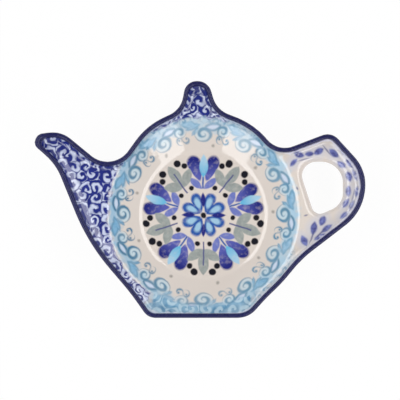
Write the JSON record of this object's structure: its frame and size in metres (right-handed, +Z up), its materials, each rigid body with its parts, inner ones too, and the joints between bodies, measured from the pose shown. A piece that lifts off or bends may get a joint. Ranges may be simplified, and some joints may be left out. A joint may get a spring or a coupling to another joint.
{
  "type": "tea bag rest",
  "caption": "Small glazed stoneware dish in the outline of a teapot, with a shallow round bowl for a used tea bag, a raised rim and a handle loop.",
  "frame": {"origin": "centre of the foot ring, on the table", "axes": "+Z up, +X towards the handle, +Y towards the lid knob"},
  "size_m": [0.1295, 0.0931, 0.018],
  "materials": {
    "stoneware": "bare fired clay, matt",
    "painted_glaze": "blue decoration on cream under a clear gloss glaze",
    "rim_glaze": "dark cobalt blue, gloss",
    "clear_glaze": "cream, clear gloss glaze"
  },
  "bodies": {
    "root": {"stoneware_body": "stoneware", "inner_glaze": "painted_glaze", "rim_band": "rim_glaze", "outer_glaze": "clear_glaze", "base_glaze": "clear_glaze"}
  },
  "joints": []
}
